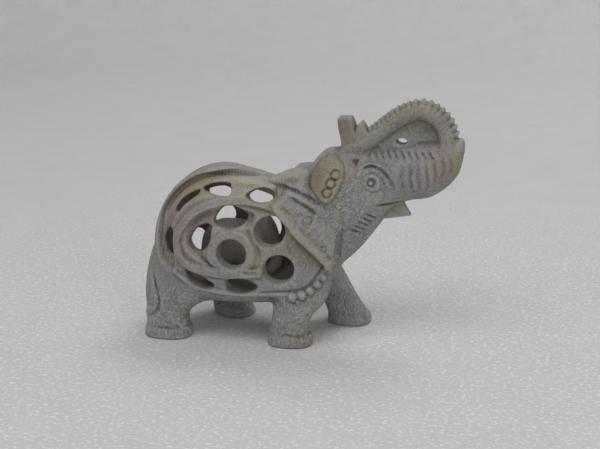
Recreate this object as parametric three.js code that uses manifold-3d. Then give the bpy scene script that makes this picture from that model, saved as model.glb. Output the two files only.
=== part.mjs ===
// A carved stone elephant with a pierced body and a small calf inside it, all one block.
// Millimetres, +Z up, trunk towards +X. The origin is under the middle of its box.

import * as THREE from "three";
import { mergeVertices } from "three/addons/utils/BufferGeometryUtils.js";
import Module from "manifold-3d";

const wasm = await Module();
wasm.setup();

// Driving dimensions
const LENGTH = 98;              // rump to the front of the trunk
const WALL = 4.4;               // stone left between the hollow and the outside
const HOLE_DIAMETER = 9.2;      // the three drilled holes of each flank
const DISC_DIAMETER = 15;       // raised disc round the middle hole
const BAND_WIDTH = 2.8;         // raised oval band of the flank
const CLOTH_RAISE = 0.8;        // saddle cloth above the hide
const BAND_RAISE = 0.8;         // band and disc above the cloth
const BEAD_DIAMETER = 3;        // largest bead under the cloth
const BEAD_SINK = 0.9;          // how deep a bead sits in the stone
const EAR_THICKNESS = 3.4;      // rim of an ear above what is behind it
const LEAF_RAISE = 0.8;         // leaf on the side of the head
const WEB_THICKNESS = 3.8;      // thin stone inside the loop of the trunk
const WEB_HOLE = 3.4;           // length of the hole through it
const CREST_PITCH = 1.6;        // one tooth of the crest to the next
const CREST_HEIGHT = 0.9;       // height of a tooth
const CREST_WIDTH = 4.6;        // width of the row of teeth
const JAW_WIDTH = 7;            // lower lip, side to side
const EYE_DIAMETER = 4.6;       // ring round the eye
const EYE_RELIEF = 0.7;         // thickness of the raised ring and brow
const TAIL_THICKNESS = 3.6;     // tail, side to side
const MERGE = 1e-4;             // points closer than this are one

// The free forms are written in parts, this many to the whole length
const PARTS = 98;
const unit = LENGTH / PARTS;
const SIDES = [-1, 1];

const signedPower = (value, power) => Math.sign(value) * Math.abs(value) ** power;
const arch = (share, power) => Math.max(0, 1 - Math.abs(share) ** power) ** (1 / power);

// Turns the triangles outward if the list winds them inward
function outward(position, index) {
  const corner = (k) => new THREE.Vector3().fromArray(position, 3 * index[k]);
  let volume = 0;
  for (let k = 0; k < index.length; k += 3) {
    volume += corner(k).dot(corner(k + 1).cross(corner(k + 2)));
  }
  const wound = Uint32Array.from(index);
  if (volume < 0) {
    for (let k = 0; k < wound.length; k += 3) {
      [wound[k], wound[k + 1]] = [wound[k + 1], wound[k]];
    }
  }
  return wound;
}

function solid(geometry) {
  geometry.deleteAttribute("normal");
  geometry.deleteAttribute("uv");
  const merged = mergeVertices(geometry, MERGE);
  const vertProperties = Float32Array.from(merged.attributes.position.array);
  const triVerts = outward(vertProperties, merged.index.array);
  return new wasm.Manifold(new wasm.Mesh({ numProp: 3, vertProperties, triVerts }));
}

const join = (solids) => solids.reduce((whole, piece) => whole.add(piece));

// A closed skin over rings of points, each ring with as many points as the next
function loft(rings) {
  const sides = rings[0].length;
  const points = rings.flat();
  const index = [];
  for (let r = 0; r + 1 < rings.length; r += 1) {
    for (let k = 0; k < sides; k += 1) {
      const a = r * sides + k;
      const b = r * sides + ((k + 1) % sides);
      index.push(a, b, b + sides, a, b + sides, a + sides);
    }
  }
  [0, rings.length - 1].forEach((r, last) => {
    const middle = new THREE.Vector3();
    rings[r].forEach((point) => middle.addScaledVector(point, 1 / sides));
    points.push(middle);
    for (let k = 0; k < sides; k += 1) {
      const a = r * sides + k;
      const b = r * sides + ((k + 1) % sides);
      index.push(points.length - 1, last ? a : b, last ? b : a);
    }
  });
  const geometry = new THREE.BufferGeometry().setFromPoints(points);
  geometry.setIndex(index);
  return solid(geometry);
}

// Points round a squared oval of unit size: power 2 is an ellipse, more is boxier
function oval(sides, above, below = above) {
  return Array.from({ length: sides }, (_, k) => {
    const turn = (2 * Math.PI * (k + 0.5)) / sides;
    const power = Math.sin(turn) > 0 ? above : below;
    return [signedPower(Math.cos(turn), 2 / power), signedPower(Math.sin(turn), 2 / power)];
  });
}

// A smooth table: rows of numbers, the first number of a row being its place
function table(rows) {
  return (place) => {
    const last = rows.length - 2;
    const found = rows.findIndex((row, k) => k <= last && place <= rows[k + 1][0]);
    const k = found < 0 ? last : found;
    const [before, from, to, after] = [k - 1, k, k + 1, k + 2].map(
      (row) => rows[Math.min(Math.max(row, 0), rows.length - 1)]);
    const span = to[0] - from[0];
    const t = Math.min(Math.max((place - from[0]) / span, 0), 1);
    return from.slice(1).map((value, c) => {
      const slope = (a, b) => (b === a ? 0 : (span * (b[c + 1] - a[c + 1])) / (b[0] - a[0]));
      const leave = slope(before, to);
      const reach = slope(from, after);
      return value * (1 + 2 * t) * (1 - t) ** 2 + leave * t * (1 - t) ** 2
        + to[c + 1] * (3 - 2 * t) * t ** 2 - reach * (1 - t) * t ** 2;
    });
  };
}

const steps = (from, to, count) => Array.from(
  { length: count + 1 }, (_, k) => from + ((to - from) * k) / count);

// Torso: an egg on its side, blunter behind and below than in front and above
const TORSO = { x: -24, z: 27, rear: 21.8, front: 37.5, rise: 25.6, drop: 16.5, half: 19.2 };
const ROUND_ABOVE = 2.3;
const ROUND_BELOW = 3.2;

function torsoAt(x, grow) {
  const along = x - TORSO.x * unit;
  const share = along / ((along < 0 ? TORSO.rear : TORSO.front) * unit + grow);
  return {
    half: (TORSO.half * unit + grow) * arch(share, 2.4),
    rise: (TORSO.rise * unit + grow) * arch(share, 2),
    drop: (TORSO.drop * unit + grow) * arch(share, 3),
  };
}

function torsoSide(x, z, grow = 0) {
  const { half, rise, drop } = torsoAt(x, grow);
  const above = z - TORSO.z * unit;
  return above > 0 ? half * arch(above / rise, ROUND_ABOVE) : half * arch(above / drop, ROUND_BELOW);
}

function torso(grow, stations, sides) {
  const lean = 80;
  const rings = steps(-lean, lean, stations).map((angle) => {
    const reach = (angle < 0 ? TORSO.rear : TORSO.front) * unit + grow;
    const x = TORSO.x * unit + reach * Math.sin(THREE.MathUtils.degToRad(angle));
    const { half, rise, drop } = torsoAt(x, grow);
    return oval(sides, ROUND_ABOVE, ROUND_BELOW).map(([across, up]) => new THREE.Vector3(
      x, across * half, TORSO.z * unit + up * (up > 0 ? rise : drop)));
  });
  return loft(rings);
}

// Neck, head and the forward part of the trunk. Rows: x, top, bottom, half width
const HEAD = table([
  [-6, 48, 26, 12],
  [0, 49.4, 21, 14.8],
  [3, 51.8, 18.8, 14.6],
  [6, 56.4, 18.4, 14.2],
  [9, 59.2, 19.4, 13.4],
  [14, 59.8, 23, 12],
  [20, 59.6, 28.7, 10.6],
  [26, 60, 36.6, 9.2],
  [30, 60.8, 42.2, 8],
  [35, 61.8, 44.6, 7.2],
  [41, 62.6, 45.8, 6.6],
  [46, 63.6, 49, 6],
  [49.6, 64.2, 53.4, 5.2],
  [51, 64.2, 58, 4],
]);
const HEAD_FROM = -6;
const HEAD_TO = 51;
const HEAD_BOXY = 2.3;

function headSide(x, z) {
  const [top, bottom, half] = HEAD(x / unit);
  const middle = (top + bottom) / 2;
  return half * unit * arch((z / unit - middle) / (top - middle), HEAD_BOXY);
}

function head(grow = 0) {
  const rings = steps(HEAD_FROM, HEAD_TO, 15).map((place) => {
    const [top, bottom, half] = HEAD(place).map((value) => value * unit);
    return oval(12, HEAD_BOXY).map(([across, up]) => new THREE.Vector3(
      place * unit, across * (half + grow), (top + bottom) / 2 + up * ((top - bottom) / 2 + grow)));
  });
  return loft(rings);
}

// Legs. Rows: height, x of the middle, half length, y of the middle, half width
const REAR_LEG = [
  [0, -39, 7.5, 12.6, 6.4],
  [2.4, -39, 7.3, 12.6, 6.2],
  [4, -39.1, 6.7, 12.6, 5.7],
  [8, -38.9, 6.9, 12.4, 5.6],
  [13, -36.2, 9.6, 11.6, 5.9],
  [20, -34, 11.4, 10, 6.2],
  [28, -33, 9.6, 9, 5],
];
const FRONT_LEG = [
  [0, 0.3, 7, 12.6, 6.2],
  [2.4, 0.3, 6.8, 12.6, 6],
  [4, 0, 6.1, 12.6, 5.5],
  [9, 1, 6.1, 12.4, 5.4],
  [14, 3.2, 8, 11.4, 5.6],
  [21, 4, 8.8, 9.6, 5.6],
  [29, 4, 8, 8, 5],
];
// The far legs stand further forward, and the far front one strides
const FAR_REAR_LEG = REAR_LEG.map(([z, x, long, ...rest]) => [z, x + 15 - 0.4 * z, long - 1, ...rest]);
const FAR_FRONT_LEG = [
  [0, 14.2, 7, 12.6, 6.2],
  [2.4, 14, 6.8, 12.6, 6],
  [4, 13.2, 6.2, 12.6, 5.5],
  [8, 10.9, 5.8, 12.4, 5.4],
  [14, 7.4, 6.3, 11.4, 5.4],
  [21, 4, 6.6, 9.6, 5.4],
  [29, 2, 6, 8, 5],
];
const LEGS = [[REAR_LEG, -1], [FRONT_LEG, -1], [FAR_REAR_LEG, 1], [FAR_FRONT_LEG, 1]];

function leg(rows, side) {
  const shape = table(rows);
  const heights = [0, 2.4, 4, 7.5, 12, 17, 22, 28];
  const rings = heights.map((z) => {
    const [x, long, y, wide] = shape(z);
    return oval(10, 2.5).map(([along, across]) => new THREE.Vector3(
      x + along * long, side * y + across * wide, z).multiplyScalar(unit));
  });
  return loft(rings);
}

function legSide(rows, x, z) {
  const [middle, long, y, wide] = table(rows)(z / unit);
  return (y + wide * arch((x / unit - middle) / long, 2.5)) * unit;
}

// Outlines seen from the side: closed smooth curves through a few points
function outline(points, detail = 3) {
  const curve = new THREE.CatmullRomCurve3(
    points.map(([x, z]) => new THREE.Vector3(x * unit, z * unit, 0)), true, "centripetal");
  return curve.getPoints(points.length * detail).slice(1).map(({ x, y }) => new THREE.Vector2(x, y));
}

function circle(x, z, radius, radiusUp = radius, sides = 20) {
  return oval(sides, 2).map(([a, b]) => new THREE.Vector2(x * unit + a * radius, z * unit + b * radiusUp));
}

// A flat slab with that outline, between two values of y
function slab(points, from, to) {
  const geometry = new THREE.ExtrudeGeometry(
    new THREE.Shape(points), { depth: to - from, bevelEnabled: false });
  geometry.rotateX(Math.PI / 2);
  geometry.translate(0, to, 0);
  return solid(geometry);
}

// A cutter through one flank, square to the rounded surface
const CUT_TILT = 0.88;
const CUT_DEPTH = 0.3;

function pierce(points, side) {
  const geometry = new THREE.ExtrudeGeometry(
    new THREE.Shape(points), { depth: 1, bevelEnabled: false });
  const position = geometry.attributes.position;
  for (let k = 0; k < position.count; k += 1) {
    const x = position.getX(k);
    const z = position.getY(k);
    const y = torsoSide(x, z);
    const out = position.getZ(k) > 0.5 ? 1.6 : 0;
    const innerZ = TORSO.z * unit + CUT_TILT * (z - TORSO.z * unit);
    position.setXYZ(k, x, side * y * (CUT_DEPTH + (1 - CUT_DEPTH) * out), innerZ + (z - innerZ) * out);
  }
  return solid(geometry);
}

// The band of each flank bends round the holes from the ear to the lower hole. The
// flanks were carved by hand, so the far one has a wider band and its own openings.
const NEAR_BAND = [
  [1.5, 40], [-6, 44], [-15, 45.3], [-24, 43.6], [-30.3, 39.5], [-34, 33.5], [-33.4, 28],
  [-30, 24.8], [-24, 23.4], [-16, 22.9], [-8, 23.6],
];
const FAR_BAND = [
  [1.5, 40], [-6, 44], [-15, 45.6], [-24, 45.4], [-31, 43.8], [-35.8, 38], [-36, 32],
  [-32, 26.4], [-24, 23.4], [-16, 22.9], [-8, 23.6],
];
const NEAR_HOLES = { middle: [-16.4, 29.4], upper: [-5.2, 36.2], lower: [-2.4, 24.6] };
const FAR_HOLES = { ...NEAR_HOLES, middle: [-13.6, 29.4] };

// A band of one width along a path seen from the side
function strip(points, width, count = 20) {
  const curve = new THREE.SplineCurve(points.map(([x, z]) => new THREE.Vector2(x * unit, z * unit)));
  const edge = (offset) => steps(0, 1, count).map((share) => {
    const ahead = curve.getTangentAt(share);
    return curve.getPointAt(share).add(new THREE.Vector2(-ahead.y, ahead.x).multiplyScalar(offset));
  });
  return [...edge(width / 2), ...edge(-width / 2).reverse()];
}

const CLOTH_OUTLINE = [
  [13, 30], [10.5, 22], [5.5, 17], [-6, 15.6], [-17, 15.6], [-27, 17], [-36, 22], [-40.8, 29],
  [-40.6, 37], [-36.4, 44], [-29, 49], [-19, 50.6], [-6, 49.4], [5, 46],
];

// Openings of both flanks, then those of one flank
const OPENINGS = [
  [[-28.2, 48.6], [-25, 50.6], [-20.4, 50.9], [-18.6, 49], [-18.4, 46.8], [-23.4, 46.6]],
  [[-13.4, 47.4], [-10.2, 49.8], [-6.4, 49], [-5.2, 46.8], [-7.6, 45], [-11.4, 45.2]],
  [[-31.4, 23.4], [-27.6, 22.2], [-24, 20.4], [-22.6, 18.2], [-26, 17.2], [-30.2, 19.4]],
  [[-18.6, 20.4], [-14.6, 21.6], [-10.8, 20.8], [-9, 18.4], [-13, 16.4], [-18.2, 17]],
];
const NEAR_OPENINGS = [
  [[-36.6, 41], [-34.2, 45.2], [-29.4, 48], [-28.8, 46.8], [-32.4, 43.4], [-34.8, 40.4]],
  [[-40.2, 31], [-38.6, 34.6], [-36, 35.2], [-35.4, 30.6], [-35.8, 26.2], [-38.8, 26.6]],
  [[-22.6, 38.4], [-20.8, 42.8], [-16.6, 43.8], [-12.4, 41.4], [-13.6, 38], [-17.8, 36.8]],
  [[-30.4, 32], [-28, 36.4], [-24, 37.6], [-23, 34], [-25, 30], [-28, 29.2]],
];
const FAR_OPENINGS = [
  [[-33.6, 40], [-31.6, 43.2], [-26.6, 44], [-24.6, 41.6], [-27, 38.8], [-31.4, 38]],
  [[-39.4, 24], [-38.4, 28], [-35.2, 27.6], [-33.8, 23.6], [-35, 19.8], [-38, 20.4]],
  [[-21.8, 38.2], [-20.4, 42.8], [-15.8, 43.8], [-11.4, 41.4], [-12.6, 37.6], [-17, 36.2]],
  [[-32.4, 32], [-30.4, 35.2], [-26.2, 36.4], [-24.4, 33.4], [-26, 29.8], [-30, 28.6]],
];
const FLANKS = [
  { side: -1, band: NEAR_BAND, holes: NEAR_HOLES, openings: [...OPENINGS, ...NEAR_OPENINGS], detail: 2 },
  { side: 1, band: FAR_BAND, holes: FAR_HOLES, openings: [...OPENINGS, ...FAR_OPENINGS], detail: 1 },
];

function drill([x, z], side) {
  const ends = [0.3, 1.4].map((share) => side * share * TORSO.half * unit);
  return slab(circle(x, z, HOLE_DIAMETER / 2, HOLE_DIAMETER / 2, 16), Math.min(...ends), Math.max(...ends));
}

// Saddle cloth with the raised band and disc of each flank, lying on the torso
function saddle() {
  const reach = 1.5 * TORSO.half * unit;
  const cloth = slab(outline(CLOTH_OUTLINE, 2), -reach, reach);
  const reliefs = FLANKS.map(({ side, band, holes }) => {
    const ends = [Math.min(0, side * reach), Math.max(0, side * reach)];
    return slab(strip(band, BAND_WIDTH), ...ends).add(slab(circle(...holes.middle, DISC_DIAMETER / 2), ...ends));
  });
  const relief = join(reliefs).intersect(torso(CLOTH_RAISE + BAND_RAISE, 16, 20));
  return cloth.intersect(torso(CLOTH_RAISE, 16, 20)).add(relief);
}

// Ear: a domed plate over the shoulder. Its outline, then how far out it lies
const EAR_OUTLINE = [
  [-6.6, 50.4], [-3.4, 53], [2, 54.4], [8, 51.4], [13, 45], [14.4, 37], [14, 30],
  [13, 24.6], [9, 29], [4, 34.6], [-0.4, 39], [-4.4, 44],
];
const EAR_MIDDLE = [5.5, 43];
const EAR_ROOT = 2.4;           // how far an ear goes on into the stone
const EAR_DROP = { [-1]: 0, [1]: 2.2 };   // the far ear hangs a little lower

// The lower rear of an ear stands off the shoulder and its front edge sinks into the cheek
function earOut(x, z) {
  const lean = 0.25 + 0.03 * Math.max(0, z - 24);
  return (19.6 - 0.018 * (z - 34) ** 2 - lean * Math.max(0, x - 4)) * unit;
}

function ear(side) {
  const rim = outline(EAR_OUTLINE, 2);
  const [middleX, middleZ] = EAR_MIDDLE.map((value) => value * unit);
  const ring = (share, deep) => rim.map((point) => {
    const x = middleX + (point.x - middleX) * share;
    const z = middleZ + (point.y - middleZ) * share;
    const out = earOut(x / unit, z / unit) - deep;
    return new THREE.Vector3(x, side * out, z - EAR_DROP[side] * unit);
  });
  const face = [[0.4, 1], [0.84, 0.2], [1, 0.4]];
  return loft([
    ...face.map(([share, deep]) => ring(share, deep)),
    ring(0.98, EAR_THICKNESS + EAR_ROOT),
    ring(0.3, EAR_THICKNESS + EAR_ROOT),
  ]);
}

// A raised leaf on the side of the head, above the front of the ear
const LEAF_OUTLINE = [
  [6, 51], [7.4, 55.8], [11.4, 58.6], [15.4, 56.4], [16, 52], [14, 47], [10.6, 45],
];

function leaf(side) {
  const ends = [0.3, 1].map((share) => side * share * TORSO.half * unit);
  const plate = slab(outline(LEAF_OUTLINE, 2), Math.min(...ends), Math.max(...ends));
  return plate.intersect(head(LEAF_RAISE));
}

// Loop of the trunk: it rises from the front, bends back and comes down on the forehead
const LOOP_PATH = new THREE.CatmullRomCurve3([
  [46.2, 58], [46, 65], [43.6, 69.6], [38.4, 72.3], [32.4, 70.4], [27, 66.4], [21.5, 62], [16, 59.6],
].map(([x, z]) => new THREE.Vector3(x, 0, z).multiplyScalar(unit)), false, "centripetal");
const LOOP_DEEP = 2.7;
const LOOP_HALF_WIDTH = [5, 3.6];

// Frames along the loop: the point, the way outward and the share of the way
function alongLoop(share) {
  const point = LOOP_PATH.getPointAt(share);
  const ahead = LOOP_PATH.getTangentAt(share);
  return { point, out: new THREE.Vector3(ahead.z, 0, -ahead.x) };
}

function loop() {
  const rings = steps(0, 1, 18).map((share) => {
    const { point, out } = alongLoop(share);
    const half = THREE.MathUtils.lerp(...LOOP_HALF_WIDTH, share) * unit;
    return oval(10, 2.6).map(([across, deep]) => point.clone()
      .addScaledVector(out, deep * LOOP_DEEP * unit)
      .add(new THREE.Vector3(0, across * half, 0)));
  });
  return loft(rings);
}

// Row of teeth along the outside of the loop
const CREST_FROM = 0.14;
const CREST_TO = 0.8;

function crest() {
  const run = LOOP_PATH.getLength() * (CREST_TO - CREST_FROM);
  const teeth = Math.max(3, Math.round(run / CREST_PITCH));
  const edge = (share, lift) => {
    const { point, out } = alongLoop(share);
    const spot = point.clone().addScaledVector(out, LOOP_DEEP * unit + lift);
    return new THREE.Vector2(spot.x, spot.z);
  };
  const shares = steps(CREST_FROM, CREST_TO, 2 * teeth);
  const points = shares.map((share, k) => edge(share, k % 2 ? CREST_HEIGHT : 0));
  const inner = steps(CREST_TO, CREST_FROM, 12).map((share) => edge(share, -LOOP_DEEP * unit));
  return slab([...points, ...inner], -CREST_WIDTH / 2, CREST_WIDTH / 2);
}

// Thin stone left inside the loop, with one small hole
const WEB_HOLE_AT = [32.4, 62.9];

function web() {
  const points = [[24, 58], [24, 64.5], [28, 68], [33, 71], [39, 73], [44, 70], [46.4, 65], [47, 58]];
  const hole = circle(...WEB_HOLE_AT, WEB_HOLE / 2, WEB_HOLE / 3.4, 12);
  const plate = slab(outline(points, 1), -WEB_THICKNESS / 2, WEB_THICKNESS / 2);
  return { plate, hole: slab(hole, -3 * WEB_THICKNESS, 3 * WEB_THICKNESS) };
}

// Tip of the trunk on the forehead: two lips with a notch between them
const TIP_OUTLINE = [
  [14, 58], [13.8, 62], [12.9, 66], [12.6, 69], [16.7, 69.2], [17.7, 66.8], [18.1, 64.6],
  [18.8, 67.2], [19.9, 68.3], [21.4, 65.8], [22.6, 63], [22.6, 58],
];
const TIP_HALF_WIDTH = 3;

function tip() {
  const points = TIP_OUTLINE.map(([x, z]) => new THREE.Vector2(x * unit, z * unit));
  return slab(points, -TIP_HALF_WIDTH * unit, TIP_HALF_WIDTH * unit);
}

// Lower lip: a wedge with a hollow front and a flat underside
function jaw() {
  const points = [[22, 45.5], [32.6, 45], [33.4, 42.6], [35.7, 39.4], [27.4, 38.6], [22, 37]];
  const shape = points.map(([x, z]) => new THREE.Vector2(x * unit, z * unit));
  return slab(shape, -JAW_WIDTH / 2, JAW_WIDTH / 2);
}

// A round bar along points, with a radius at each end
function bar(points, from, to, sides = 8, count = 10) {
  const curve = new THREE.CatmullRomCurve3(points, false, "centripetal");
  const frames = curve.computeFrenetFrames(count, false);
  const rings = steps(0, 1, count).map((share, k) => {
    const radius = THREE.MathUtils.lerp(from, to, share);
    return oval(sides, 2).map(([a, b]) => curve.getPointAt(share)
      .addScaledVector(frames.normals[k], a * radius)
      .addScaledVector(frames.binormals[k], b * radius));
  });
  return loft(rings);
}

// Eye with its ring, and the brow that bends over it
const EYE_AT = [24.2, 51];

function eye(side) {
  const [x, z] = EYE_AT.map((value) => value * unit);
  const ring = new THREE.TorusGeometry(EYE_DIAMETER / 2, EYE_RELIEF, 4, 10);
  const ball = new THREE.SphereGeometry(EYE_DIAMETER / 4, 6, 4);
  const place = (geometry) => {
    geometry.rotateX(Math.PI / 2);
    geometry.translate(x, side * headSide(x, z), z);
    return solid(geometry);
  };
  const brow = [[20.4, 53.4], [22, 56], [25, 56.6], [28, 54.2], [30, 50.2]].map(([px, pz]) => new THREE.Vector3(
    px * unit, side * headSide(px * unit, pz * unit), pz * unit));
  return join([place(ring), place(ball), bar(brow, EYE_RELIEF, EYE_RELIEF, 5, 5)]);
}

// Beads under the lower edge of the cloth, smaller towards the chest
const BEAD_LINE = new THREE.CatmullRomCurve3([
  [2, 16.2], [6, 17.4], [10, 20.8], [12.8, 25], [14.2, 29],
].map(([x, z]) => new THREE.Vector3(x, 0, z).multiplyScalar(unit)));

function beads(side, rows, part) {
  const balls = [];
  let gone = 0;
  while (gone < part * BEAD_LINE.getLength()) {
    const share = gone / BEAD_LINE.getLength();
    const radius = (BEAD_DIAMETER / 2) * (1 - 0.4 * share);
    const { x, z } = BEAD_LINE.getPointAt(share);
    const y = Math.max(torsoSide(x, z, CLOTH_RAISE), headSide(x, z), legSide(rows, x, z));
    const ball = new THREE.SphereGeometry(radius, 6, 4);
    ball.translate(x, side * (y + radius - BEAD_SINK), z);
    balls.push(solid(ball));
    gone += 2 * radius;
  }
  return join(balls);
}

// Tail: it hangs from the rump and lies on the back of the near leg
function tail() {
  const points = [
    [-43, 0, 30], [-45.2, -3, 25], [-45.4, -8.4, 20], [-44.8, -13, 14.6], [-44.2, -14.4, 10], [-44.6, -14.4, 7],
  ];
  const path = points.map((point) => new THREE.Vector3(...point).multiplyScalar(unit));
  return bar(path, TAIL_THICKNESS / 2, TAIL_THICKNESS / 3, 6, 6);
}

// Calf inside the hollow, standing on its floor
const CALF_BODY = table([
  [-31.6, 27, 22, 2], [-30.2, 31, 20, 4], [-26, 34.6, 20.6, 6], [-21, 35.2, 20.6, 6.4], [-16, 35, 21.2, 6],
  [-13, 37, 24, 5.4], [-9.8, 37, 26.8, 4.6], [-7.8, 34.6, 28.6, 3], [-6.8, 33, 30, 1.4],
]);
const CALF_FLOOR = 13;

function calf() {
  const rings = steps(-31.6, -6.8, 9).map((x) => {
    const [top, bottom, half] = CALF_BODY(x);
    return oval(8, 2.2).map(([across, up]) => new THREE.Vector3(
      x, across * half, (top + bottom) / 2 + (up * (top - bottom)) / 2).multiplyScalar(unit));
  });
  const feet = [[-27, -3.6], [-15, -3.6], [-24, 3.6], [-12.6, 3.6]].map(([x, y]) => bar(
    [[x, y, 25], [x, y, 19], [x, y, CALF_FLOOR]].map((point) => new THREE.Vector3(...point).multiplyScalar(unit)),
    2.9 * unit, 2.7 * unit, 6, 1));
  const trunk = bar([[-9.6, 0, 31.4], [-7.2, 0, 27], [-6.8, 0, 22.4], [-9, 0, 19.6]].map(
    (point) => new THREE.Vector3(...point).multiplyScalar(unit)), 2.8 * unit, 1.8 * unit, 6, 4);
  const ears = SIDES.map((side) => {
    const flap = new THREE.SphereGeometry(unit, 7, 4);
    flap.scale(3.2, 1, 4.2);
    flap.translate(-13.2 * unit, side * 5.4 * unit, 31.4 * unit);
    return solid(flap);
  });
  return join([loft(rings), ...feet, trunk, ...ears]);
}

function elephant() {
  const block = join([torso(0, 16, 20), head(), saddle(), ...LEGS.map(([rows, side]) => leg(rows, side))]);
  const cuts = FLANKS.flatMap(({ side, holes, openings, detail }) => [
    ...openings.map((points) => pierce(outline(points, detail), side)),
    ...Object.values(holes).map((place) => drill(place, side)),
  ]);
  const pierced = block.subtract(torso(-WALL, 12, 14)).subtract(join(cuts));
  const { plate, hole } = web();
  return join([
    pierced, calf(), loop(), crest(), plate, tip(), jaw(), tail(),
    ...SIDES.flatMap((side) => [ear(side), eye(side), leaf(side)]),
    beads(-1, FRONT_LEG, 1), beads(1, FAR_FRONT_LEG, 0.6),
  ]).subtract(hole);
}

function meshOf(shape, name, material) {
  const { vertProperties, triVerts } = shape.getMesh();
  const geometry = new THREE.BufferGeometry();
  geometry.setAttribute("position", new THREE.BufferAttribute(Float32Array.from(vertProperties), 3));
  geometry.setIndex(new THREE.BufferAttribute(Uint32Array.from(triVerts), 1));
  geometry.computeBoundingBox();
  const middle = geometry.boundingBox.getCenter(new THREE.Vector3());
  geometry.translate(-middle.x, -middle.y, -geometry.boundingBox.min.z);
  geometry.computeVertexNormals();
  const mesh = new THREE.Mesh(geometry, material);
  mesh.name = name;
  return mesh;
}

const stone = new THREE.MeshStandardMaterial({ color: 0x9a9892, roughness: 0.85, metalness: 0 });

const figurine = new THREE.Group();
figurine.add(meshOf(elephant(), "elephant", stone));

export default figurine;
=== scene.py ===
"""Dresses the carved stone elephant: one fine mesh, carved by the same forms as the solid."""

import math

import bpy
import numpy as np
import openvdb as vdb
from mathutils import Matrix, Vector


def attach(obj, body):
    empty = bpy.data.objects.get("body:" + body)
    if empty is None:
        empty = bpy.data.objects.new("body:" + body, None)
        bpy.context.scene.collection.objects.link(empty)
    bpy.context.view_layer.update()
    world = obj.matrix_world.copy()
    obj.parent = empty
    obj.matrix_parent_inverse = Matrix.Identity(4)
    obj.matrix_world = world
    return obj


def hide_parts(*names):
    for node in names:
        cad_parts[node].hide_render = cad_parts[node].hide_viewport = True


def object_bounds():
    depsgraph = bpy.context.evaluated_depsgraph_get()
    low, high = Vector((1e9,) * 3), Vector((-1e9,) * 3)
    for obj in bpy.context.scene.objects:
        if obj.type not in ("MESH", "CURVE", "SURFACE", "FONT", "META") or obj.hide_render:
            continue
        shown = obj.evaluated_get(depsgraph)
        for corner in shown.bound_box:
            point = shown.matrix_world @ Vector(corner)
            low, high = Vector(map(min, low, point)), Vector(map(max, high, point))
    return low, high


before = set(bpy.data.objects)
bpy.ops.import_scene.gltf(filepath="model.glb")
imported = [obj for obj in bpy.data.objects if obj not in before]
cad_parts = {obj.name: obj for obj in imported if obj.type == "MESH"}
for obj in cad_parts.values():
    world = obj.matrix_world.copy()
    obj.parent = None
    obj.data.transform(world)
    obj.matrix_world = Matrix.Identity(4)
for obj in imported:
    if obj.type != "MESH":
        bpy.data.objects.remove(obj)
CAD_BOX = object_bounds()

MM = 0.001
VOXEL = 0.32      # mm between the points of the carving grid
MOST_TRIANGLES = 190000
INSET = 0.005                            # mm that the mesh stays inside the solid's box
FAR = 6.0                                # mm, distances beyond this don't matter

# The forms below are in the millimetres of the carving, which start under the neck.
# SHIFT brings them to the frame, whose middle is under the middle of the figurine.
FRONT = 51.0
SHIFT = CAD_BOX[1].x / MM - FRONT

LOW = np.array([-50.0, -23.0, -1.6])
HIGH = np.array([53.5, 23.0, 78.5])
COUNT = np.ceil((HIGH - LOW) / VOXEL).astype(int) + 1
AXES = [(LOW[k] + VOXEL * np.arange(COUNT[k])).astype(np.float32) for k in range(3)]
PLAN_X, PLAN_Z = np.meshgrid(AXES[0], AXES[2], indexing="ij")
SIDES = (-1, 1)                          # the near flank and the far one
HALVES = {-1: (LOW[1], 0), 1: (0, HIGH[1])}


# Joining and cutting of distance fields, negative inside, with a rounded seam
def joined(a, b, seam):
    share = np.clip(0.5 + 0.5 * (b - a) / seam, 0, 1)
    return b * (1 - share) + a * share - seam * share * (1 - share)


def shared(a, b, seam):
    return -joined(-a, -b, seam)


def window(low, high):
    """Slices of the grid that cover a box, and the coordinates there."""
    first = [max(0, int((low[k] - LOW[k]) / VOXEL)) for k in range(3)]
    last = [min(COUNT[k], int((high[k] - LOW[k]) / VOXEL) + 2) for k in range(3)]
    cut = tuple(slice(a, b) for a, b in zip(first, last))
    x, y, z = (AXES[k][cut[k]] for k in range(3))
    return cut, x[:, None, None], y[None, :, None], z[None, None, :]


def add(field, low, high, make, seam):
    cut, x, y, z = window(low, high)
    field[cut] = joined(field[cut], make(x, y, z), seam)


def distance(level):
    """A level set turned into nearly a distance by its own slope."""
    slopes = np.gradient(level, VOXEL)
    steep = np.sqrt(sum(slope * slope for slope in slopes))
    return np.clip(level / np.maximum(steep, 1e-4), -FAR, FAR)


def arch(share, power):
    return np.maximum(0, 1 - np.abs(share) ** power) ** (1 / power)


def smooth_step(low, high, value):
    t = np.clip((value - low) / (high - low), 0, 1)
    return t * t * (3 - 2 * t)


def ridge(far, width):
    """One on a line, fading to nothing over a few widths."""
    return np.exp(-(far / width) ** 2)


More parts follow.
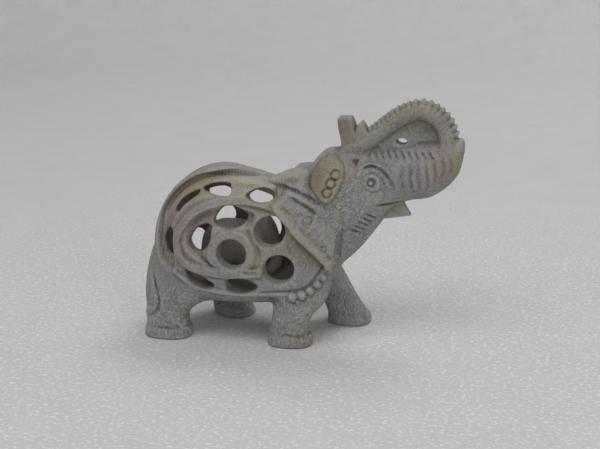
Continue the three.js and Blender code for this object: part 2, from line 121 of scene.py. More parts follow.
def table(rows):
    """Smooth curves through the rows, the first number of a row being its place."""
    rows = np.array(rows, float)
    slopes = np.zeros_like(rows[:, 1:])
    slopes[1:-1] = (rows[2:, 1:] - rows[:-2, 1:]) / (rows[2:, :1] - rows[:-2, :1])
    slopes[0] = (rows[1, 1:] - rows[0, 1:]) / (rows[1, 0] - rows[0, 0])
    slopes[-1] = (rows[-1, 1:] - rows[-2, 1:]) / (rows[-1, 0] - rows[-2, 0])

    def at(place):
        place = np.asarray(place, float)
        k = np.clip(np.searchsorted(rows[:, 0], place, side="right") - 1, 0, len(rows) - 2)
        span = rows[k + 1, 0] - rows[k, 0]
        t = np.clip((place - rows[k, 0]) / span, 0, 1)[..., None]
        span = span[..., None]
        made = (rows[k, 1:] * (1 + 2 * t) * (1 - t) ** 2 + span * slopes[k] * t * (1 - t) ** 2
                + rows[k + 1, 1:] * (3 - 2 * t) * t ** 2 - span * slopes[k + 1] * (1 - t) * t ** 2)
        return np.moveaxis(made, -1, 0).astype(np.float32)

    return at


def curve(points, closed=False, detail=8):
    """A smooth line through points."""
    p = np.array(points, float)
    n = len(p)
    line = []
    for k in range(n if closed else n - 1):
        if closed:
            a, b, c, d = (p[(k + s) % n] for s in (-1, 0, 1, 2))
        else:
            b, c = p[k], p[k + 1]
            a = p[k - 1] if k else 2 * b - c
            d = p[k + 2] if k + 2 < n else 2 * c - b
        for s in range(detail):
            t = s / detail
            line.append(0.5 * (2 * b + (c - a) * t + (2 * a - 5 * b + 4 * c - d) * t ** 2
                               + (3 * b - a - 3 * c + d) * t ** 3))
    if not closed:
        line.append(p[-1])
    return np.array(line)


# Fields in the plane of the flank
def plan_outline(points, x=PLAN_X, z=PLAN_Z, smooth=True):
    """Distance to a closed outline, negative inside."""
    line = curve(points, closed=True, detail=6) if smooth else np.array(points, float)
    best = np.full(x.shape, 1e9)
    inside = np.zeros(x.shape, bool)
    for (ax, az), (bx, bz) in zip(line, np.roll(line, -1, 0)):
        ex, ez = bx - ax, bz - az
        t = np.clip(((x - ax) * ex + (z - az) * ez) / max(ex * ex + ez * ez, 1e-9), 0, 1)
        best = np.minimum(best, (x - ax - t * ex) ** 2 + (z - az - t * ez) ** 2)
        crosses = (az > z) != (bz > z)
        inside ^= crosses & (x < ax + (z - az) * ex / (ez if abs(ez) > 1e-9 else 1e-9))
    return np.where(inside, -1, 1) * np.sqrt(best)


def plan_line(points, detail=8, x=PLAN_X, z=PLAN_Z):
    """Distance to a line, signed by its side, and the run along it."""
    line = curve(points, detail=detail)
    best = np.full(x.shape, 1e9)
    side = np.ones(x.shape)
    run = np.zeros(x.shape)
    gone = 0.0
    for (ax, az), (bx, bz) in zip(line[:-1], line[1:]):
        ex, ez = bx - ax, bz - az
        length = math.hypot(ex, ez)
        t = np.clip(((x - ax) * ex + (z - az) * ez) / length ** 2, 0, 1)
        far = np.hypot(x - ax - t * ex, z - az - t * ez)
        nearer = far < best
        best = np.where(nearer, far, best)
        side = np.where(nearer, np.sign(ex * (z - az) - ez * (x - ax)), side)
        run = np.where(nearer, gone + t * length, run)
        gone += length
    return best, side, run, gone


def plan_spot(x, z):
    return np.hypot(PLAN_X - x, PLAN_Z - z)


def lift(plan):
    """A plan as a field that is the same at every depth into the flank."""
    return plan[:, None, :]


def plan_part(x, z):
    """The rows and columns of a plan that lie under a window."""
    rows, _, columns = window([x.min(), 0, z.min()], [x.max(), 0, z.max()])[0]
    return slice(rows.start, rows.start + x.size), slice(columns.start, columns.start + z.size)


# Torso, an egg on its side
TORSO = {"x": -24, "z": 27, "rear": 21.8, "front": 37.5, "rise": 25.6, "drop": 16.5, "half": 19.2}
ROUND_ABOVE, ROUND_BELOW = 2.3, 3.2
TAPER = {"half": 2.4, "rise": 2, "drop": 3}


def torso(x, y, z, grow=0.0):
    """The egg as one smooth level, its taper to the ends changing from the side to the back."""
    along, up = x - TORSO["x"], z - TORSO["z"]
    ends = np.abs(along) / (np.where(along < 0, TORSO["rear"], TORSO["front"]) + grow)
    out = np.abs(y) / (TORSO["half"] + grow)
    level = None
    for name, power, here in (("rise", ROUND_ABOVE, up > 0), ("drop", ROUND_BELOW, up <= 0)):
        high = np.abs(up) / (TORSO[name] + grow)
        wide, tall = out ** power, high ** power
        section = wide + tall
        taper = (TAPER["half"] * wide + TAPER[name] * tall + 1e-4) / (section + 1e-4)
        made = (section ** (taper / power) + ends ** taper) ** (1 / taper)
        level = made if level is None else np.where(here, made, level)
    return distance(level - 1)


def torso_side(x, z, grow=0.0):
    """How far the torso reaches to the side there."""
    along, up = x - TORSO["x"], z - TORSO["z"]
    ends = along / (np.where(along < 0, TORSO["rear"], TORSO["front"]) + grow)
    half, rise, drop = (np.maximum((TORSO[name] + grow) * arch(ends, TAPER[name]), 0.01)
                        for name in TAPER)
    return half * np.where(up > 0, arch(up / rise, ROUND_ABOVE), arch(up / drop, ROUND_BELOW))


# Neck, head and the forward part of the trunk. Rows: x, top, bottom, half width
HEAD = table([
    [-6, 48, 26, 12], [0, 49.4, 21, 14.8], [3, 51.8, 18.8, 14.6], [6, 56.4, 18.4, 14.2],
    [9, 59.2, 19.4, 13.4], [14, 59.8, 23, 12], [20, 59.6, 28.7, 10.6], [26, 60, 36.6, 9.2],
    [30, 60.8, 42.2, 8], [35, 61.8, 44.6, 7.2], [41, 62.6, 45.8, 6.6], [46, 63.6, 49, 6],
    [49.6, 64.2, 53.4, 5.2], [51, 64.2, 58, 4],
])
HEAD_FROM, HEAD_TO, HEAD_BOXY = -6, 51, 2.3


def head(x, y, z, grow=0.0):
    top, bottom, half = HEAD(x)
    middle, reach = (top + bottom) / 2, (top - bottom) / 2 + grow
    level = ((np.abs(y) / (half + grow)) ** HEAD_BOXY
             + (np.abs(z - middle) / reach) ** HEAD_BOXY) ** (1 / HEAD_BOXY)
    return shared(shared(distance(level - 1), x - HEAD_TO, 1.2), HEAD_FROM - x, 1.2)


def head_side(x, z):
    top, bottom, half = HEAD(x)
    return half * arch((z - (top + bottom) / 2) / ((top - bottom) / 2), HEAD_BOXY)


# Legs. Rows: height, x of the middle, half length, y of the middle, half width
REAR_LEG = [
    [0, -39, 7.5, 12.6, 6.4], [2.4, -39, 7.3, 12.6, 6.2], [4, -39.1, 6.7, 12.6, 5.7],
    [8, -38.9, 6.9, 12.4, 5.6], [13, -36.2, 9.6, 11.6, 5.9], [20, -34, 11.4, 10, 6.2],
    [28, -33, 9.6, 9, 5],
]
FRONT_LEG = [
    [0, 0.3, 7, 12.6, 6.2], [2.4, 0.3, 6.8, 12.6, 6], [4, 0, 6.1, 12.6, 5.5],
    [9, 1, 6.1, 12.4, 5.4], [14, 3.2, 8, 11.4, 5.6], [21, 4, 8.8, 9.6, 5.6], [29, 4, 8, 8, 5],
]
STRIDE, STRIDE_LEAN = 15, 0.4
FAR_REAR_LEG = [[z, x + STRIDE - STRIDE_LEAN * z, long - 1, y, wide]
                for z, x, long, y, wide in REAR_LEG]
FAR_FRONT_LEG = [
    [0, 14.2, 7, 12.6, 6.2], [2.4, 14, 6.8, 12.6, 6], [4, 13.2, 6.2, 12.6, 5.5],
    [8, 10.9, 5.8, 12.4, 5.4], [14, 7.4, 6.3, 11.4, 5.4], [21, 4, 6.6, 9.6, 5.4], [29, 2, 6, 8, 5],
]
LEG_POWER, LEG_TOP, LEG_BOTTOM, LEG_ROOM = 2.5, 28.0, 0.02, 16
LEGS = [(REAR_LEG, -1), (FRONT_LEG, -1), (FAR_REAR_LEG, 1), (FAR_FRONT_LEG, 1)]


def leg(rows, side):
    shape = table(rows)

    def at(x, y, z):
        middle, long, out, wide = shape(np.clip(z, 0, LEG_TOP))
        level = ((np.abs(x - middle) / long) ** LEG_POWER
                 + (np.abs(y - side * out) / wide) ** LEG_POWER) ** (1 / LEG_POWER)
        flat = shared(distance(level - 1), LEG_BOTTOM - z, 0.5)
        return shared(flat, z - LEG_TOP, 2)

    return at


def leg_side(rows, x, z):
    middle, long, out, wide = table(rows)(z)
    return out + wide * arch((x - middle) / long, LEG_POWER)


# Saddle cloth, its raised bands and discs, and the openings of the two flanks
WALL, CLOTH_RAISE, BAND_RAISE, BAND_WIDTH = 4.4, 0.8, 0.8, 2.8
HOLE_RADIUS, DISC_RADIUS = 4.6, 7.5
CLOTH = [
    [13, 30], [10.5, 22], [5.5, 17], [-6, 15.6], [-17, 15.6], [-27, 17], [-36, 22], [-40.8, 29],
    [-40.6, 37], [-36.4, 44], [-29, 49], [-19, 50.6], [-6, 49.4], [5, 46],
]
BANDS = {
    -1: [[1.5, 40], [-6, 44], [-15, 45.3], [-24, 43.6], [-30.3, 39.5], [-34, 33.5], [-33.4, 28],
         [-30, 24.8], [-24, 23.4], [-16, 22.9], [-8, 23.6]],
    1: [[1.5, 40], [-6, 44], [-15, 45.6], [-24, 45.4], [-31, 43.8], [-35.8, 38], [-36, 32],
        [-32, 26.4], [-24, 23.4], [-16, 22.9], [-8, 23.6]],
}
HOLES = {
    -1: [[-16.4, 29.4], [-5.2, 36.2], [-2.4, 24.6]],
    1: [[-13.6, 29.4], [-5.2, 36.2], [-2.4, 24.6]],
}
OPENINGS = [
    [[-28.2, 48.6], [-25, 50.6], [-20.4, 50.9], [-18.6, 49], [-18.4, 46.8], [-23.4, 46.6]],
    [[-13.4, 47.4], [-10.2, 49.8], [-6.4, 49], [-5.2, 46.8], [-7.6, 45], [-11.4, 45.2]],
    [[-31.4, 23.4], [-27.6, 22.2], [-24, 20.4], [-22.6, 18.2], [-26, 17.2], [-30.2, 19.4]],
    [[-18.6, 20.4], [-14.6, 21.6], [-10.8, 20.8], [-9, 18.4], [-13, 16.4], [-18.2, 17]],
]
SIDE_OPENINGS = {
    -1: [
        [[-36.6, 41], [-34.2, 45.2], [-29.4, 48], [-28.8, 46.8], [-32.4, 43.4], [-34.8, 40.4]],
        [[-40.2, 31], [-38.6, 34.6], [-36, 35.2], [-35.4, 30.6], [-35.8, 26.2], [-38.8, 26.6]],
        [[-22.6, 38.4], [-20.8, 42.8], [-16.6, 43.8], [-12.4, 41.4], [-13.6, 38], [-17.8, 36.8]],
        [[-30.4, 32], [-28, 36.4], [-24, 37.6], [-23, 34], [-25, 30], [-28, 29.2]],
    ],
    1: [
        [[-33.6, 40], [-31.6, 43.2], [-26.6, 44], [-24.6, 41.6], [-27, 38.8], [-31.4, 38]],
        [[-39.4, 24], [-38.4, 28], [-35.2, 27.6], [-33.8, 23.6], [-35, 19.8], [-38, 20.4]],
        [[-21.8, 38.2], [-20.4, 42.8], [-15.8, 43.8], [-11.4, 41.4], [-12.6, 37.6], [-17, 36.2]],
        [[-32.4, 32], [-30.4, 35.2], [-26.2, 36.4], [-24.4, 33.4], [-26, 29.8], [-30, 28.6]],
    ],
}
CUT_TILT, CUT_DEPTH, CUT_FROM = 0.88, 0.3, 17.5
CALF_CLEAR = 5.0                         # the openings stop this far from the middle plane


def cut_plan(side):
    """Distance to the outlines of the openings of a flank, in its plane."""
    return np.minimum.reduce([plan_outline(p) for p in OPENINGS + SIDE_OPENINGS[side]])


def slanted(plan, y, z):
    """The plan of the openings followed inwards, where they drop towards the middle."""
    out = np.clip((np.abs(y) / CUT_FROM - CUT_DEPTH) / (1 - CUT_DEPTH), 0, 1.6)
    spots = TORSO["z"] + (z[None, :] - TORSO["z"]) / (CUT_TILT + (1 - CUT_TILT) * out[:, None])
    place = np.clip((spots - LOW[2]) / VOXEL, 0, plan.shape[1] - 1.001)
    below = place.astype(int)
    part = place - below
    return plan[:, below] * (1 - part) + plan[:, below + 1] * part


# Ears
EAR = [
    [-6.6, 50.4], [-3.4, 53], [2, 54.4], [8, 51.4], [13, 45], [14.4, 37], [14, 30],
    [13, 24.6], [9, 29], [4, 34.6], [-0.4, 39], [-4.4, 44],
]
EAR_RIM = [
    [13, 24.6], [9, 29], [4, 34.6], [-0.4, 39], [-4.4, 44], [-6.6, 50.4], [-3.4, 53], [2, 54.4],
]
EAR_THICKNESS, EAR_ROOT = 3.4, 2.4
EAR_DROP = {-1: 0.0, 1: 2.2}


def ear_out(x, z):
    lean = 0.25 + 0.03 * np.maximum(0, z - 24)
    return 19.6 - 0.018 * (z - 34) ** 2 - lean * np.maximum(0, x - 4)


def ear(side):
    down = EAR_DROP[side]
    plan = plan_outline(EAR, z=PLAN_Z + down)
    rim = plan_line(EAR_RIM, z=PLAN_Z + down)[0]
    # The rim is a rounded roll, and the skin inside it sinks a little
    face = ear_out(PLAN_X, PLAN_Z + down) - 0.2 - 0.95 * smooth_step(0.8, 3.4, rim)
    face = face + 0.35 * np.exp(-((rim - 1.0) / 0.9) ** 2)

    def at(x, y, z):
        rows, columns = plan_part(x, z)
        skin = side * y - face[rows, None, columns]
        back = face[rows, None, columns] - EAR_THICKNESS - EAR_ROOT - side * y
        return shared(shared(skin, back, 0.6), lift(plan[rows, columns]), 0.9)

    return at


# Leaf on the side of the head, above the front of the ear
LEAF = [[6, 51], [7.4, 55.8], [11.4, 58.6], [15.4, 56.4], [16, 52], [14, 47], [10.6, 45]]
LEAF_RAISE = 0.8
RINGS = [[11.6, 48.2], [12.6, 50.9], [13.8, 53.4]]
RING_RADIUS = 1.35
EAR_RINGS = [((6.4, 40.2), 1.2), ((4.2, 41.8), 0.5), ((12.3, 28.3), 0.8), ((11.3, 31.4), 0.7)]
NECK_MOUND, NECK_MOUND_HALF = (2.5, 0, 46.8), (8.5, 11.5, 6.4)

# Loop of the trunk, its crest, the thin stone inside it, the tip and the lower lip
LOOP = [
    [46.2, 58], [46, 65], [43.6, 69.6], [38.4, 72.3], [32.4, 70.4], [27, 66.4], [21.5, 62],
    [16, 59.6],
]
LOOP_ROOM = ([10, -9, 52], [53, 9, 78])
LOOP_DEEP, LOOP_WIDE, LOOP_POWER = 2.7, (5.0, 3.6), 2.6
CREST_FROM, CREST_TO, CREST_PITCH, CREST_HEIGHT, CREST_HALF = 0.14, 0.8, 1.6, 0.9, 2.3
WEB = [[24, 58], [24, 64.5], [28, 68], [33, 71], [39, 73], [44, 70], [46.4, 65], [47, 58]]
WEB_HALF, WEB_HOLE, WEB_HOLE_AT = 1.9, (1.7, 1.0), (32.4, 62.9)
TIP = [
    [14, 58], [13.8, 62], [12.9, 66], [12.6, 69], [16.7, 69.2], [17.7, 66.8], [18.1, 64.6],
    [18.8, 67.2], [19.9, 68.3], [21.4, 65.8], [22.6, 63], [22.6, 58],
]
TIP_HALF = 3.0
JAW = [[22, 45.5], [32.6, 45], [33.4, 42.6], [35.7, 39.4], [27.4, 38.6], [22, 37]]
JAW_HALF = np.interp(AXES[0], (29, 35.7), (3.5, 0.9)).astype(np.float32)
LOOP_LINE = plan_line(LOOP, detail=12)


def plate(plan, half, seam):
    """A flat slab with that plan. Half its thickness is one number, or one for each x."""
    def at(x, y, z):
        rows, columns = plan_part(x, z)
        thick = half[rows][:, None, None] if np.ndim(half) else half
        return shared(lift(plan[rows, columns]), np.abs(y) - thick, seam)

    return at


def loop(x, y, z):
    """The trunk bent back over itself, narrower towards its end."""
    rows, columns = plan_part(x, z)
    far, _, run, whole = LOOP_LINE
    half = LOOP_WIDE[0] + (LOOP_WIDE[1] - LOOP_WIDE[0]) * run[rows, columns] / whole
    level = ((lift(far[rows, columns]) / LOOP_DEEP) ** LOOP_POWER
             + (np.abs(y) / lift(half)) ** LOOP_POWER) ** (1 / LOOP_POWER)
    return distance(level - 1)


def crest_parts():
    """Distance out from the loop's middle, the height of the tooth, and distance past the ends."""
    far, side, run, whole = LOOP_LINE
    length = whole * (CREST_TO - CREST_FROM)
    share = (run - CREST_FROM * whole) / length
    tooth = 1 - np.abs((share * round(length / CREST_PITCH)) % 1 - 0.5) * 2
    # The loop is drawn from the front over the top, so its outside is its right side
    return np.where(side < 0, far, -far), tooth, (np.abs(share - 0.5) - 0.5) * length


def crest_plan():
    out, tooth, past = crest_parts()
    return np.maximum(out - LOOP_DEEP - CREST_HEIGHT * tooth, past) * 0.8


def crest_marks():
    """Notches that run from the teeth down the sides of the loop, and the line they end on."""
    out, tooth, past = crest_parts()
    inside = smooth_step(0.5, -0.5, past)
    notch = 0.28 * smooth_step(1.0, 2.0, out) * smooth_step(0.5, 0.15, tooth)
    return inside * (notch + 0.22 * np.exp(-((out - 1.2) / 0.35) ** 2))


# Face
EYE = (24.4, 51.2)
EYE_RING, EYE_BALL, EYE_RELIEF, EYE_ROOM = 2.2, 1.2, 0.6, 6
BROW = [[20.4, 53.4], [22, 56], [25, 56.6], [28, 54.2], [30, 50.2]]


def ball(centre, radius, squeeze=(1, 1, 1)):
    def at(x, y, z):
        a, b, c = ((v - m) / s for v, m, s in zip((x, y, z), centre, squeeze))
        return (np.sqrt(a * a + b * b + c * c) - radius) * min(squeeze)

    return at


def rod(points, radii):
    """A round bar along points, as capsules that follow each other."""
    line = np.array(points, float)
    sizes = np.linspace(radii[0], radii[1], len(line))

    def at(x, y, z):
        best = None
        for a, b, from_r, to_r in zip(line[:-1], line[1:], sizes[:-1], sizes[1:]):
            e = b - a
            u, v, w = x - a[0], y - a[1], z - a[2]
            t = np.clip((u * e[0] + v * e[1] + w * e[2]) / (e @ e), 0, 1)
            far = np.sqrt((u - t * e[0]) ** 2 + (v - t * e[1]) ** 2 + (w - t * e[2]) ** 2)
            skin = far - (from_r + (to_r - from_r) * t)
            best = skin if best is None else np.minimum(best, skin)
        return best

    return at


def add_rod(field, points, radii, seam):
    line = np.array(points, float)
    room = max(radii) + 3
    add(field, line.min(0) - room, line.max(0) + room, rod(points, radii), seam)


def eye(side):
    x0, z0 = EYE
    y0 = side * float(head_side(x0, z0))

    def at(x, y, z):
        round_it = np.sqrt((x - x0) ** 2 + (z - z0) ** 2)
        skin = side * (y - y0)
        outer = np.sqrt((round_it - EYE_RING) ** 2 + (skin + 0.25) ** 2) - EYE_RELIEF
        pupil = np.sqrt(round_it ** 2 + (skin + 0.35) ** 2) - EYE_BALL
        return np.minimum(outer, pupil)

    return at


# Beads under the lower edge of the cloth
BEAD_LINE = [[2, 16.2], [6, 17.4], [10, 20.8], [12.8, 25], [14.2, 29]]
BEAD_RADIUS, BEAD_SINK = 1.5, 0.9
BEAD_ROWS = [(-1, FRONT_LEG, 1), (1, FAR_FRONT_LEG, 0.6)]      # side, leg, share of the line


def bead_places(side, rows, part):
    """Beads that touch each other and get smaller, on whichever form stands out most there."""
    line = curve(BEAD_LINE, detail=30)
    runs = np.concatenate([[0], np.cumsum(np.hypot(*np.diff(line, axis=0).T))])
    gone, places = 0.0, []
    while gone < part * runs[-1]:
        radius = BEAD_RADIUS * (1 - 0.4 * gone / runs[-1])
        x, z = (np.interp(gone, runs, line[:, k]) for k in (0, 1))
        y = max(float(skin) for skin in (
            torso_side(x, z, CLOTH_RAISE), head_side(x, z), leg_side(rows, x, z)))
        places.append(((x, side * (y + radius - BEAD_SINK), z), radius))
        gone += 2 * radius
    return places


# Tail, pressed against the near rear leg
TAIL = [
    [-43, 0, 30], [-45.2, -3, 25], [-45.4, -8.4, 20], [-44.8, -13, 14.6], [-44.2, -14.4, 10],
    [-44.6, -14.4, 7],
]
TAIL_RADII = (1.8, 1.2)

# Calf
CALF = table([
    [-31.6, 27, 22, 2], [-30.2, 31, 20, 4], [-26, 34.6, 20.6, 6], [-21, 35.2, 20.6, 6.4],
    [-16, 35, 21.2, 6], [-13, 37, 24, 5.4], [-9.8, 37, 26.8, 4.6], [-7.8, 34.6, 28.6, 3],
    [-6.8, 33, 30, 1.4],
])
CALF_ENDS, CALF_FLOOR, CALF_POWER = (-31.6, -6.8), 13, 2.2
CALF_FEET = [(-27, -3.6), (-15, -3.6), (-24, 3.6), (-12.6, 3.6)]
CALF_TRUNK = [[-9.6, 0, 31.4], [-7.2, 0, 27], [-6.8, 0, 22.4], [-9, 0, 19.6]]
CALF_LEG_RADII, CALF_TRUNK_RADII = (2.8, 2.6), (2.7, 1.7)
CALF_EAR, CALF_EAR_OUT, CALF_EAR_HALF = (-13.2, 31.4), 5.2, (3.2, 1.1, 4.2)


def calf_body(x, y, z):
    top, bottom, half = CALF(x)
    high = np.abs(z - (top + bottom) / 2) / ((top - bottom) / 2)
    level = ((np.abs(y) / half) ** CALF_POWER + high ** CALF_POWER) ** (1 / CALF_POWER)
    ends = np.maximum(CALF_ENDS[0] - x, x - CALF_ENDS[1])
    return shared(distance(level - 1), ends, 1.5)


def calf():
    field = np.full(COUNT, FAR)
    add(field, [-36, -10, 16], [-2, 10, 41], calf_body, 0.5)
    for x, y in CALF_FEET:
        add_rod(field, [[x, y, 25], [x, y, 19], [x, y, CALF_FLOOR]], CALF_LEG_RADII, 1.6)
    add_rod(field, CALF_TRUNK, CALF_TRUNK_RADII, 1.2)
    for side in SIDES:
        middle = (CALF_EAR[0], side * CALF_EAR_OUT, CALF_EAR[1])
        add(field, [-19, -9, 24], [-7, 9, 39], ball(middle, 1, CALF_EAR_HALF), 0.4)
    return field


# Lines cut into the stone, as depth over the plane of a flank. Depths are in millimetres.
def groove(plan, points, width, depth):
    """A line that gets shallow towards its ends."""
    far, _, run, whole = plan_line(points)
    fade = smooth_step(0, 0.25 * whole, run) * smooth_step(0, 0.25 * whole, whole - run)
    fade = 0.25 + 0.75 * fade
    plan += depth * fade * ridge(far, width)


def ring_mark(plan, centre, radius, width, depth):
    plan += depth * ridge(plan_spot(*centre) - radius, width)


# The hollowed ground beside the raised band: outside it up to the rim of the back, and inside it
RIM_LINE = [
    [0.5, 50.0], [-5.1, 51.5], [-12.5, 52.0], [-16.9, 52.3], [-21.1, 52.4], [-25.2, 52.0],
    [-30.3, 50.8], [-34.7, 48.4], [-38.2, 45.2], [-41, 41.3], [-42.3, 37], [-42.4, 31],
    [-41, 25.4],
]
CHANNEL = RIM_LINE + [
    [-36.6, 21.6], [-34.4, 24.4], [-35, 29.6], [-35.6, 34.6], [-34.2, 39.4], [-31.4, 42.6],
    [-27, 45], [-21.6, 46.4], [-15, 46.9], [-9, 46.2], [-3, 44.6],
]
INNER = {
    -1: [[-31.6, 31], [-30.4, 37], [-27, 41], [-21, 43], [-13, 43], [-9.6, 41.4], [-10, 37.6],
         [-13.4, 37.4], [-19.6, 37.3], [-24, 33.6], [-24.6, 28.4], [-21.6, 25], [-26.6, 26.4]],
    1: [[-33.4, 30], [-33, 36], [-28.6, 41.6], [-21, 43], [-13, 43], [-9.6, 41.4], [-9, 37.4],
        [-11.4, 37], [-17.4, 37], [-21.4, 33.6], [-21.6, 28.4], [-19.4, 25], [-26.6, 26.4]],
}
LOWER = [[-33.2, 23.6], [-27, 22], [-22, 20.6], [-15, 21.6], [-9, 21], [-8, 18], [-13, 16.2],
         [-24, 16.4], [-31.4, 18.8]]
CHANNEL_DEPTH, INNER_DEPTH, LOWER_DEPTH = 2.2, 2.0, 1.0

# Grooves: points, half width, depth
EAR_FOLDS = [
    ([[-2.6, 49.9], [1.7, 49.0], [4.8, 47.6], [8.1, 45.4], [12.2, 43.2]], 0.62, 1.1),
    ([[0.2, 47.3], [3.8, 45.5], [6.3, 43.6], [9.2, 40.8]], 0.6, 1.0),
]
EAR_SWELL = [([[-1.6, 48.2], [2.6, 47.2], [7.2, 44.8], [11.2, 42.2]], 0.9, -0.35)]
NECK_FOLDS = [([[15.6, 42], [16.0, 36], [14.8, 29], [13.4, 23.5]], 0.7, 0.5)]
CHEEK_MARKS = [([[18.6 + k, 36.8 + 1.25 * k], [21.4 + 1.15 * k, 35.2 + 1.15 * k]], 0.4, 0.85)
               for k in range(5)]
MOUTH = ([[25.6, 44.4], [30.1, 44.3], [34.2, 44.9]], 0.42, 0.9)
FACE_FOLDS = [
    ([[20.6, 54.8], [24.0, 55.9], [27.2, 54.9], [29.6, 52.4], [31.0, 49.4]], 0.6, 0.9),
    ([[20.6, 56.3], [24.6, 57.6], [28.6, 56.2], [31.4, 52.5]], 0.5, 0.35),
    ([[22.6, 53.2], [24.5, 54.2], [27.0, 53.4], [28.3, 51.0], [29.0, 48.4]], 0.32, 0.45),
    ([[22.0, 50.4], [23.6, 48.9], [26.4, 48.6], [28.2, 50.2]], 0.32, 0.4),
    ([[27.9, 49.6], [28.4, 47.2], [27.6, 45.6]], 0.5, 0.25),
]
TRIANGLE = [[17.7, 57.6], [20.4, 57.7], [19.6, 55.2]]
TAIL_EDGE = ([[-43.6, 21], [-42.1, 16.4], [-40.9, 12.4], [-41.0, 9.6], [-43.0, 7.4], [-45.6, 7.0]],
             0.55, 0.9)
TOES = [
    ([[-42, 3.9], [-39.6, 3.5], [-36.6, 3.4], [-33.6, 3.6]], 0.5, 0.5),
    ([[-1.8, 4.2], [1.6, 3.9], [4.6, 3.5], [6.8, 3.3]], 0.5, 0.5),
]
VINES = [
    ([[-10.6, 41.2], [-12.2, 38.4], [-10.4, 34.6], [-8.2, 30.8], [-7.4, 27.4]], 0.6, 0.7),
    ([[-13.6, 24.2], [-10.4, 23.4], [-7.2, 24.4]], 0.5, 0.55),
    ([[-1.2, 41.2], [-0.2, 37.0], [0.6, 32.0], [2.4, 28.0]], 0.6, 0.35),
]
TRUNK_RINGS = [(points, 0.55, 0.45) for points in (
    [[33.8, 57.4], [33.3, 53.1], [34.2, 47.8]], [[36.2, 57.4], [36, 53], [36.6, 48.2]],
    [[38.1, 57.6], [38.3, 52.7], [39.1, 48.5]], [[40.3, 57.9], [41.0, 53.3], [41.2, 49.1]],
    [[42.7, 58.6], [43.4, 53.9], [42.8, 50.4]], [[45.2, 59.2], [46.0, 55.7], [44.7, 52.2]],
    [[47.2, 59.6], [48.1, 56.7], [47.4, 54.2]],
)]
SLANTS = [([[21.4 + 2.15 * k, 60.4 + 0.04 * k], [23.6 + 2.15 * k, 57.8 + 0.04 * k]], 0.36, 0.6)
          for k in range(10)]
BOTH_SIDES = (EAR_FOLDS + EAR_SWELL + NECK_FOLDS + VINES + CHEEK_MARKS + [MOUTH]
              + TRUNK_RINGS + SLANTS)
NEAR_SIDE = TOES + [TAIL_EDGE]
PLAINER = {-1: 1.0, 1: 0.8}              # share of the depth that each flank gets


def carving(side):
    """Depth cut from the skin of a flank. What stands above the skin is less than nothing."""
    plan = np.zeros(PLAN_X.shape, np.float32)
    hollows = (CHANNEL, CHANNEL_DEPTH), (INNER[side], INNER_DEPTH), (LOWER, LOWER_DEPTH)
    for outline, depth in hollows:
        plan += depth * smooth_step(0.3, -2.0, plan_outline(outline))
    plan -= 0.3 * ridge(plan_line(RIM_LINE)[0], 0.8)
    for points, width, depth in BOTH_SIDES:
        groove(plan, points, width, depth * PLAINER[side])
    plan += 0.7 * smooth_step(0.2, -0.4, plan_outline(TRIANGLE, smooth=False))
    if side < 0:
        for points, width, depth in NEAR_SIDE:
            groove(plan, points, width, depth)
    # A line inside the edge of the cloth, and one along each edge of the band
    edge = plan_outline(CLOTH)
    low = smooth_step(30, 24, PLAN_Z)
    plan += low * (0.45 * ridge(edge + 1.7, 0.45) - 0.25 * ridge(edge + 0.6, 0.6))
    plan += 0.3 * ridge(plan_line(BANDS[side])[0] - BAND_WIDTH / 2 - 0.6, 0.6)
    # Border of the forehead leaf, and its rings, drilled with a tube
    plan += 0.45 * ridge(plan_outline(LEAF) + 0.1, 0.4)
    for centre in RINGS:
        ring_mark(plan, centre, RING_RADIUS, 0.32, 0.7)
    # Ring of the ear, small ones at its tip, and the dot
    for centre, radius in EAR_RINGS:
        ring_mark(plan, centre, radius, 0.3, 0.5)
    return plan


def face_carving(side):
    """Folds and rings cut after the eye and the brow are raised."""
    plan = np.zeros(PLAN_X.shape, np.float32)
    for points, width, depth in FACE_FOLDS:
        groove(plan, points, width, depth * PLAINER[side])
    ring_mark(plan, EYE, 0.85, 0.3, 0.5)
    return plan


def side_share(y, side):
    return smooth_step(1.0, 4.0, side * y)


def body(cuts):
    """Torso, head, saddle cloth and legs, with the lines cut into both flanks."""
    _, x, y, z = window(LOW, HIGH)
    block = torso(x, y, z)
    add(block, [-12, -20, 12], [53.5, 20, 72], head, 2.4)
    cloth = shared(torso(x, y, z, CLOTH_RAISE), lift(plan_outline(CLOTH)), 0.7)
    block = joined(block, cloth, 0.5)
    near, far = (lift(np.minimum(plan_line(BANDS[side])[0] - BAND_WIDTH / 2,
                                 plan_spot(*HOLES[side][0]) - DISC_RADIUS)) for side in SIDES)
    band = torso(x, y, z, CLOTH_RAISE + BAND_RAISE)
    block = joined(block, shared(band, np.where(y < 0, near, far), 0.7), 0.5)
    for rows, side in LEGS:
        middles = [row[1] for row in rows]
        low = [min(middles) - LEG_ROOM, HALVES[side][0], LOW[2]]
        high = [max(middles) + LEG_ROOM, HALVES[side][1], LEG_TOP + 4]
        add(block, low, high, leg(rows, side), 2.6)
    for side in SIDES:
        block += lift(cuts[side]) * side_share(y, side)
    return block


def pierced(block):
    """The block with its hollow, and with the openings and drilled holes of both flanks."""
    _, x, y, z = window(LOW, HIGH)
    passages = np.full(block.shape, FAR)
    for side in SIDES:
        half = AXES[1] * side > 0
        drills = np.minimum.reduce([plan_spot(*spot) - HOLE_RADIUS for spot in HOLES[side]])
        openings = slanted(cut_plan(side), AXES[1][half], AXES[2])
        passages[:, half] = np.minimum(openings, lift(drills))
    passages = np.maximum(passages, CALF_CLEAR - np.abs(y))
    block = shared(block, -torso(x, y, z, -WALL), 0.8)
    return shared(block, -passages, 0.9)


